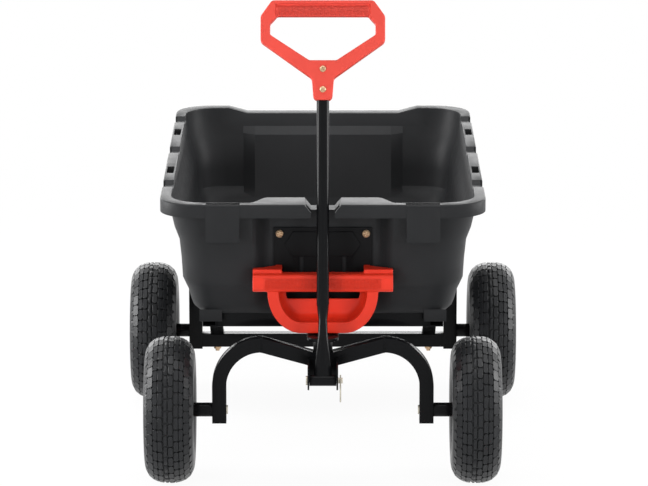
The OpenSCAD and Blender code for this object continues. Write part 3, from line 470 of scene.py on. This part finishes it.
class CART_OT_stage(bpy.types.Operator):
    """Pale floor, soft studio light and the camera at the photographed angle"""
    bl_idname = "cart.stage"
    bl_label = "Stage"

    # Share of the floor by the cart that takes its shadow, and how fast it fades with the distance squared
    shadow_share = 0.06
    shadow_fade = 0.16
    # Strength of the world for diffuse light, where 1 is white
    fill = 0.14
    # Lamps: name, place and size in metres, watts, and whether reflections show it
    softboxes = (("top_softbox", (0, 0.2, 3.4), (3.0, 2.6), 55, True),
                 ("left_key", (-2.6, -4.0, 1.1), (1.3, 1.8), 92, False),
                 ("right_key", (2.6, -4.0, 1.1), (1.3, 1.8), 76, False),
                 ("front_fill", (0, -4.2, 3.6), (5.0, 3.0), 70, False),
                 ("back_wall", (0, 6.0, 1.7), (9.0, 3.0), 230, True),
                 ("left_strip", (-2.6, 0.3, 0.8), (1.1, 2.4), 120, True),
                 ("right_strip", (2.6, 0.3, 0.8), (1.1, 2.4), 80, True))
    lamp_target = (0, 0, 0.35)
    # Camera in metres: to the right, ahead of the front axle, height; then its tilt down in degrees
    camera_at = (0.002, 7.021, 1.966)
    camera_tilt = 12.33
    camera_sensor = 36

    def execute(self, context):
        self.floor()
        self.world()
        self.lamps()
        self.camera()
        return {"FINISHED"}

    def floor(self):
        bpy.ops.object.select_all(action="DESELECT")
        bpy.ops.mesh.primitive_plane_add(size=40)
        floor = bpy.context.object
        floor.name = "floor"
        f = Finish("studio_floor")
        path = f.tree.nodes.new("ShaderNodeLightPath")
        seen = Sock(f.tree, path.outputs["Is Camera Ray"])
        mirrored = Sock(f.tree, path.outputs["Is Glossy Ray"])
        matt = f.node("ShaderNodeBsdfDiffuse", None, {"Color": rgba(finishes().floor)})
        white = f.node("ShaderNodeEmission", None, {"Strength": (seen + mirrored).clamp(0, 1)})
        across, along = f.axis("X"), f.axis("Y")
        near = 1.0 - self.shadow_fade * (across * across + along * along)
        shown = (seen * (1.0 - self.shadow_share * near.clamp(0, 1)) + mirrored).clamp(0, 1)
        floor.data.materials.append(
            f.surface(f.node("ShaderNodeMixShader", None, {0: shown, 1: matt, 2: white})))

    def world(self):
        world = bpy.data.worlds.new("studio")
        bpy.context.scene.world = world
        world.use_nodes = True
        tree = world.node_tree
        tree.nodes.clear()
        path = tree.nodes.new("ShaderNodeLightPath")
        seen = Sock(tree, path.outputs["Is Camera Ray"])
        through = Sock(tree, path.outputs["Is Transmission Ray"])
        mirrored = Sock(tree, path.outputs["Is Glossy Ray"])
        level = self.fill + (1 - self.fill) * (seen + through + mirrored).clamp(0, 1)
        back = tree.nodes.new("ShaderNodeBackground")
        back.inputs["Color"].default_value = (1, 1, 1, 1)
        tree.links.new(level.socket, back.inputs["Strength"])
        out = tree.nodes.new("ShaderNodeOutputWorld")
        tree.links.new(back.outputs[0], out.inputs["Surface"])

    def lamps(self):
        target = Vector(self.lamp_target)
        for name, place, size, power, shines in self.softboxes:
            data = bpy.data.lights.new(name, "AREA")
            data.shape = "RECTANGLE"
            data.size, data.size_y = size
            data.energy = power
            lamp = bpy.data.objects.new(name, data)
            lamp.location = place
            lamp.visible_glossy = shines
            lamp.rotation_euler = (target - Vector(place)).to_track_quat("-Z", "Y").to_euler()
            bpy.context.scene.collection.objects.link(lamp)

    def camera(self):
        data = bpy.data.cameras.new("camera")
        data.lens = sizes().camera_lens
        data.sensor_width = self.camera_sensor
        camera = bpy.data.objects.new("camera", data)
        right, ahead, height = self.camera_at
        camera.location = (right, middle("front_crossbar").y - ahead, height)
        camera.rotation_euler = (math.radians(90 - self.camera_tilt), 0, 0)
        bpy.context.scene.collection.objects.link(camera)
        bpy.context.scene.camera = camera
        bpy.context.scene.view_settings.view_transform = "Standard"


class CART_OT_paint(bpy.types.Operator):
    """Procedural finish on every node of the frame"""
    bl_idname = "cart.paint"
    bl_label = "Finishes"

    def execute(self, context):
        FINISH.update(make_finishes())
        for name, obj in frame["nodes"].items():
            obj.data.materials.clear()
            obj.data.materials.append(FINISH[SLOT_OF[name]])
        return {"FINISHED"}


class CART_OT_frame(bpy.types.Operator):
    """Steel tubes, plates and brackets with rounded corners"""
    bl_idname = "cart.frame"
    bl_label = "Steel frame"

    tubes = ("side_rails", "front_cross_member", "rear_cross_member", "rear_beam", "rear_posts",
             "front_crossbar", "front_left_leg", "front_right_leg")
    sheets = ("kingpin_plate", "latch_keeper", "braces", "handle_clevis", "hinge_brackets", "handle_shaft",
              "handle_bush", "kingpin_sleeve", "front_spacers", "rear_spacers", "pivot_spacers")
    # Weld beads: half width, height over the tube and rounding in mm, and length against the tube's depth
    weld = (1.6, 0.7, 1.2)
    weld_length = 1.05

    def execute(self, context):
        for node in self.tubes:
            rounded_copy(node, sizes().tube_round, 3)
        for node in self.sheets:
            rounded_copy(node, sizes().bolt_round, 2)
        self.welds()
        return {"FINISHED"}

    def welds(self):
        """Beads where the legs meet the crossbar."""
        low, high = [Vector(corner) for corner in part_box("front_crossbar")]
        half, proud, rounding = [value * MM for value in self.weld]
        tall = (high.y - low.y) * self.weld_length
        for name, x in (("left", low.x), ("right", high.x)):
            bead = slab((x - half, low.y - proud, high.z - tall),
                        (x + half, high.y + proud, high.z + proud))
            bead.name = name + "_weld_bead"
            bevel(bead, rounding, 3)
            smooth(bead)
            finish_piece(bead, "frame_black", BODY_OF["front_crossbar"])


class CART_OT_fasteners(bpy.types.Operator):
    """Bolts, nuts, pins, washers and hubs with broken edges"""
    bl_idname = "cart.fasteners"
    bl_label = "Fasteners"

    nodes = ("brace_bolts", "kingpin_nut", "kingpin_washers", "front_axle_retainers", "rear_axle_retainers",
             "floor_bolts", "clevis_pin", "latch_hook")

    # Crosshead screws: head radius in mm, lean of the axis in degrees, front centres of the heads in mm
    crossheads = {
        "plate_screws": (6.4, 0.0, ((-76.5, -362.2, 435.8), (76.5, -362.2, 435.8))),
        "grip_screws": (5.4, 16.3, ((0.0, -366.3, 695.7), (0.0, -356.3, 730.4))),
    }
    # Outline of a domed head between its back and its top, and half length, half width and floor of its
    # cross, as shares of the head's radius; then the turn of the cross in degrees
    dome = ((1.0, -0.3), (1.0, 0.0), (0.86, 0.2), (0.5, 0.34))
    dome_back = -0.3
    dome_top = 0.38
    cross = (0.62, 0.13, 0.02)
    cross_turn = 28

    def crosshead(self, radius):
        """Domed head that faces +X, with a cross cut into it."""
        r = radius * MM
        outline = [(out * r, along * r) for out, along in self.dome]
        head = lathe("crosshead", [(POLE, self.dome_back * r)] + outline + [(POLE, self.dome_top * r)], 24)
        long, narrow, floor = self.cross
        for wide, tall in ((long, narrow), (narrow, long)):
            cutter = slab((r * floor, -r * wide, -r * tall), (r, r * wide, r * tall))
            modify(head, "BOOLEAN", operation="DIFFERENCE", object=cutter, solver="EXACT")
            drop(cutter)
        return head

    def execute(self, context):
        for node in self.nodes:
            rounded_copy(node, sizes().bolt_round, 2)
        for node, (radius, lean, places) in self.crossheads.items():
            head = self.crosshead(radius)
            facing = Matrix.Rotation(math.radians(-lean), 4, "X") @ Matrix.Rotation(-math.pi / 2, 4, "Z")
            turn = Matrix.Rotation(math.radians(self.cross_turn), 4, "X")
            heads = [put(head, node + "_head", Matrix.Translation(Vector(place) * MM) @ facing @ turn)
                     for place in places]
            piece = joined([merged_copy(node)] + heads)
            smooth(piece, 40)
            finish_piece(piece, SLOT_OF[node], BODY_OF[node], [node])
            drop(head)
        for wheel in WHEELS:
            rounded_copy(wheel + "_hub", sizes().bolt_round, 2)
            rounded_copy(wheel + "_rim_bolts", sizes().bolt_round, 2)
        return {"FINISHED"}


class CART_OT_tub(bpy.types.Operator):
    """Moulded tub and the plate in its alcove"""
    bl_idname = "cart.tub"
    bl_label = "Tub"

    # Raised hexagon on the plate, in mm: width, height, reach of its points, middle height, front and back
    hexagon = (136.0, 46.0, 14.5, 416.8, -361.0, -358.6)
    hexagon_edge = 1.6
    # Panel in the rear wall, in mm: half width, width of its sloping sides, and [height, panel, wall] in rows
    rear_panel = (133.8, 24.0, ((331.2, 461.4, 461.8), (340.3, 463.2, 468.9), (351.2, 465.4, 476.9),
                                (385.9, 472.4, 480.3), (420.3, 479.4, 486.4), (444.7, 484.3, 501.3),
                                (452.1, 485.8, 504.2), (465.3, 508.9, 509.3)))

    def slopes(self):
        """Sloping sides of the panel in the rear wall."""
        half, wide, rows = self.rear_panel
        sides = []
        for side in (-1, 1):
            points = []
            for z, panel, wall in rows:
                points += [(side * x * MM, y * MM, z * MM)
                           for x, y in ((half, panel), (half + wide, wall), (half, wall + 1))]
            faces = [(0, 1, 2), tuple(range(len(points) - 3, len(points)))]
            for k in range(0, len(points) - 3, 3):
                faces += [(k + i, k + (i + 1) % 3, k + 3 + (i + 1) % 3, k + 3 + i) for i in range(3)]
            sides.append(face_out(new_mesh("panel_slope", points, [], faces)))
        return sides

    def execute(self, context):
        tub = merged_copy("tub")
        bevel(tub, sizes().mould_round, 2, 30)
        tub = joined([tub] + self.slopes())
        smooth(tub, 30)
        finish_piece(tub, SLOT_OF["tub"], BODY_OF["tub"], ["tub"])
        plate = joined([merged_copy("front_plate"), self.panel()])
        round_off(plate, "front_plate", sizes().plate_round, 2)
        return {"FINISHED"}

    def panel(self):
        """Bare hexagonal panel with sloping edges."""
        wide, high, point, z, front, back = [value * MM for value in self.hexagon]
        edge = self.hexagon_edge * MM
        rings = []
        for y, inset in ((back, 0.0), (front, edge)):
            half, tall = wide / 2 - inset, high / 2 - inset
            rings.append([(-half, y, z), (point - half, y, z - tall), (half - point, y, z - tall),
                          (half, y, z), (half - point, y, z + tall), (point - half, y, z + tall)])
        faces = [(i, (i + 1) % 6, 6 + (i + 1) % 6, 6 + i) for i in range(6)]
        faces += [tuple(range(6)), tuple(range(11, 5, -1))]
        return face_out(new_mesh("panel", rings[0] + rings[1], [], faces))


class CART_OT_grips(bpy.types.Operator):
    """Red D-grip and red release handle"""
    bl_idname = "cart.grips"
    bl_label = "Red grips"

    # The finger bowl, in mm: flat foot, outer radius and height of its oval, band width and fillet
    oval = (37.5, 97.5, 74.5, 20.0, 14.0)
    # Bowl front, bowl back and the height of the bar's underside, in mm
    bowl_at = (-409.5, -381.4, 341.0)
    # Steps along half the bowl and through its fillet, and how often the skin is softened
    steps = 14
    fillet_steps = 8
    skin_passes = 10

    def ring(self, inset, deep):
        """Points along the bowl at one distance from the band's outside and one depth."""
        flat, radius, high = self.oval[:3]
        front, back, top = self.bowl_at
        points = []
        for i in range(-self.steps, self.steps + 1):
            turn = math.pi / 2 * (abs(i) / self.steps)
            side = math.copysign(1, i) if i else 0
            x = side * (flat + (radius - flat - inset) * math.sin(turn))
            z = top - (high - inset) * math.cos(turn)
            points.append((x * MM, (front + (back - front) * deep) * MM, z * MM))
        return points

    def bowl(self):
        """Hollow under the bar, curved from the band's edge to the back."""
        band_w, fillet = self.oval[3:]
        turns = [math.pi / 2 * k / self.fillet_steps for k in range(self.fillet_steps + 1)]
        rings = [self.ring(band_w + fillet * (1 - math.cos(t)), math.sin(t)) for t in turns]
        rings.append(self.ring(band_w - 1, 1.0))
        count = len(rings[0])
        points = [p for ring in rings for p in ring]
        total = len(rings)
        faces = []
        for r in range(total):
            for i in range(count - 1):
                a, b = r * count + i, ((r + 1) % total) * count + i
                faces.append((a, a + 1, b + 1, b))
        faces.append([r * count for r in range(total)])
        faces.append([r * count + count - 1 for r in reversed(range(total))])
        return face_out(new_mesh("finger_bowl", points, [], faces))

    def execute(self, context):
        grip = merged_copy("d_grip")
        release = joined([merged_copy("release_handle"), self.bowl()])
        for node, obj in (("d_grip", grip), ("release_handle", release)):
            moulded_skin(obj, sizes().skin_cell, self.skin_passes)
            finish_piece(obj, SLOT_OF[node], BODY_OF[node], [node])
        return {"FINISHED"}


class CART_OT_tyres(bpy.types.Operator):
    """Tyres with staggered tread blocks"""
    bl_idname = "cart.tyres"
    bl_label = "Tyres"

    # Power that fills out the tyre's oval section
    power = 0.83
    # Height round the section at which the tread's hollow starts, and over which it deepens
    hollow = (0.35, 0.25)
    # Height of a block against the tread's depth, and its corner and edge cuts in mm
    block_high = 1.6
    block_cuts = (2.4, 0.6)
    # Turn of the first tyre and of each next one, in degrees
    turns = (4, 3)
    # How far the flat blocks are sunk, in mm, so that their ends stay within the tyre's round
    sink = 0.45
    # Rows of blocks: place across the tread as a share of the half width, width and length in mm, stagger
    rows = ((-0.102, 8.4, 20.6, 0.0), (0.102, 8.4, 20.6, 0.0),
            (-0.325, 8.4, 20.6, 0.5), (-0.525, 8.2, 20.6, 0.5),
            (0.325, 8.4, 20.6, 0.5), (0.525, 8.2, 20.6, 0.5),
            (-0.735, 12.4, 20.0, 0.0), (0.735, 12.4, 20.0, 0.0),
            (-0.905, 11.4, 15.0, 0.5), (0.905, 11.4, 15.0, 0.5),
            (-0.985, 9.0, 9.0, 0.0), (0.985, 9.0, 9.0, 0.0))

    def section(self, turn, sink=0.0):
        """Point of the tyre's outline at an angle from its axle, as (along the axle, radius)."""
        low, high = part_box("front_left_tyre")
        half = (high[0] - low[0]) / 2 - sink
        outer = (high[2] - low[2]) / 2
        bead = sizes().bead_d / 2
        rise = (outer - bead) / 2 - sink
        c, s = math.cos(turn), math.sin(turn)
        return (half * math.copysign(abs(c) ** self.power, c),
                (outer + bead) / 2 + rise * math.copysign(abs(s) ** self.power, s))

    def carcass(self):
        """The tyre without its blocks, from bead to bead."""
        bead = sizes().bead_d / 2
        deep = sizes().tread_deep
        start, reach = self.hollow
        turns = [math.radians(a) for a in range(-50, 231, 6)]
        outline = []
        for turn in turns:
            sink = deep * min(1.0, max(0.0, (math.sin(turn) - start) / reach))
            outline.append(tuple(reversed(self.section(turn, sink))))
        foot = [(bead, outline[-1][1]), (bead, outline[0][1])]
        obj = lathe("tyre_carcass", outline + foot, 96)
        smooth(obj, 50)
        return obj

    def block(self, row):
        """One block of a row, standing on the section."""
        share, wide, long, stagger = row
        corner, edge = [value * MM for value in self.block_cuts]
        deep = sizes().tread_deep
        turn = math.acos(math.copysign(abs(share) ** (1 / self.power), share))
        here = Vector(self.section(turn))
        ahead = Vector(self.section(turn - 0.02))
        slope = (ahead - here).normalized()
        half = Vector((wide * MM, long * MM, deep * self.block_high)) / 2
        obj = slab(-half, half)
        chamfer(obj, corner, lambda a, b: abs(a.z - b.z) > deep)
        chamfer(obj, edge, lambda a, b: a.z > 0 and b.z > 0)
        out = Vector((-slope.y, slope.x)) if slope.x > 0 else Vector((slope.y, -slope.x))
        here -= out * (half.z + self.sink * MM)
        stand = Matrix(((slope.x, 0, out.x, here.x), (0, 1, 0, 0),
                        (slope.y, 0, out.y, here.y), (0, 0, 0, 1)))
        spin = Matrix.Rotation(2 * math.pi * stagger / sizes().tread_count, 4, "X")
        obj.data.transform(spin @ stand)
        return obj

    def execute(self, context):
        tread = face_out(joined([self.block(row) for row in self.rows]))
        pivot = bpy.data.objects.new("tread_pivot", None)
        pivot.rotation_euler = (2 * math.pi / sizes().tread_count, 0, 0)
        context.scene.collection.objects.link(pivot)
        modify(tread, "ARRAY", count=sizes().tread_count, use_relative_offset=False,
               use_object_offset=True, offset_object=pivot)
        carcass = joined([self.carcass(), tread])
        first, step = self.turns
        for place, wheel in enumerate(WHEELS):
            node = wheel + "_tyre"
            turned = Matrix.Rotation(math.radians(first + step * place), 4, "X")
            tyre = put(carcass, wheel + "_treaded_tyre", Matrix.Translation(middle(node)) @ turned)
            smooth(tyre, 40)
            finish_piece(tyre, SLOT_OF[node], BODY_OF[node], [node])
        drop(carcass, pivot)
        return {"FINISHED"}


class CART_OT_rims(bpy.types.Operator):
    """Pressed steel rim halves and valve stems"""
    bl_idname = "cart.rims"
    bl_label = "Rims"

    # Outline of one pressed half, in mm: radius and distance from the wheel's middle plane
    face = ((18.2, 2.3), (41.0, 2.3), (44.5, 4.0), (46.6, 8.0), (48.2, 24.0), (50.5, 29.2), (55.5, 30.6),
            (56.6, 31.8))
    back = ((55.6, 32.6), (50.0, 31.4), (46.8, 26.0), (44.8, 9.0), (43.0, 6.0), (40.0, 4.4), (18.2, 4.4))
    # Outline of a valve stem in mm, its distance from the axle in mm and its turn round it in degrees
    valve = ((0.01, 3), (6, 3), (6, 6), (4.2, 9), (3.6, 20), (3.9, 20.3), (3.9, 28), (3.0, 29), (0.01, 29))
    valve_out = 36
    valve_turn = 45

    def towards(self, side):
        """Turns a piece that faces right to face one side."""
        return Matrix.Rotation(math.pi if side < 0 else 0, 4, "Z")

    def execute(self, context):
        outline = [(r * MM, u * MM) for r, u in self.face + self.back]
        half = lathe("rim_half", outline, 72)
        bevel(half, 0.6 * MM, 2, 40)
        smooth(half, 40)
        stem = lathe("valve_stem", [(r * MM, u * MM) for r, u in self.valve], 20)
        smooth(stem, 40)
        shift = Matrix.Translation((-self.face[0][1] * MM, 0, 0))
        around = (Matrix.Rotation(math.radians(self.valve_turn), 4, "X")
                  @ Matrix.Translation((0, 0, self.valve_out * MM)))
        for wheel in WHEELS:
            side = -1 if wheel.endswith("left") else 1
            centre = Matrix.Translation(middle(wheel + "_hub"))
            for name, facing in (("_outer_rim", side), ("_inner_rim", -side)):
                rim = put(half, wheel + name + "_pressed", centre @ self.towards(facing) @ shift)
                finish_piece(rim, "rim_red", BODY_OF[wheel + name], [wheel + name])
            valve = put(stem, wheel + "_valve_stem", centre @ self.towards(side) @ around)
            finish_piece(valve, "tyre_rubber", BODY_OF[wheel + "_hub"])
        drop(half, stem)
        return {"FINISHED"}


class CART_PT_panel(bpy.types.Panel):
    """Lists the steps that dress the cart"""
    bl_idname = "CART_PT_panel"
    bl_label = "Tipping Dump Cart"
    bl_space_type = "VIEW_3D"
    bl_region_type = "UI"
    bl_category = "Cart"

    def draw(self, context):
        for step in STEPS:
            self.layout.operator(step.bl_idname)
        for group in (context.scene.cart_finishes, context.scene.cart_sizes):
            for key in group.__annotations__:
                self.layout.prop(group, key)


STEPS = (CART_OT_stage, CART_OT_paint, CART_OT_frame, CART_OT_fasteners, CART_OT_tub, CART_OT_grips,
         CART_OT_tyres, CART_OT_rims)
CLASSES = (CartFinishes, CartSizes) + STEPS + (CART_PT_panel,)


def register():
    for cls in CLASSES:
        bpy.utils.register_class(cls)
    bpy.types.Scene.cart_finishes = PointerProperty(type=CartFinishes)
    bpy.types.Scene.cart_sizes = PointerProperty(type=CartSizes)


def unregister():
    del bpy.types.Scene.cart_sizes
    del bpy.types.Scene.cart_finishes
    for cls in reversed(CLASSES):
        bpy.utils.unregister_class(cls)


def main():
    register()
    for step in STEPS:
        family, name = step.bl_idname.split(".")
        getattr(getattr(bpy.ops, family), name)()


if __name__ == "__main__":
    main()
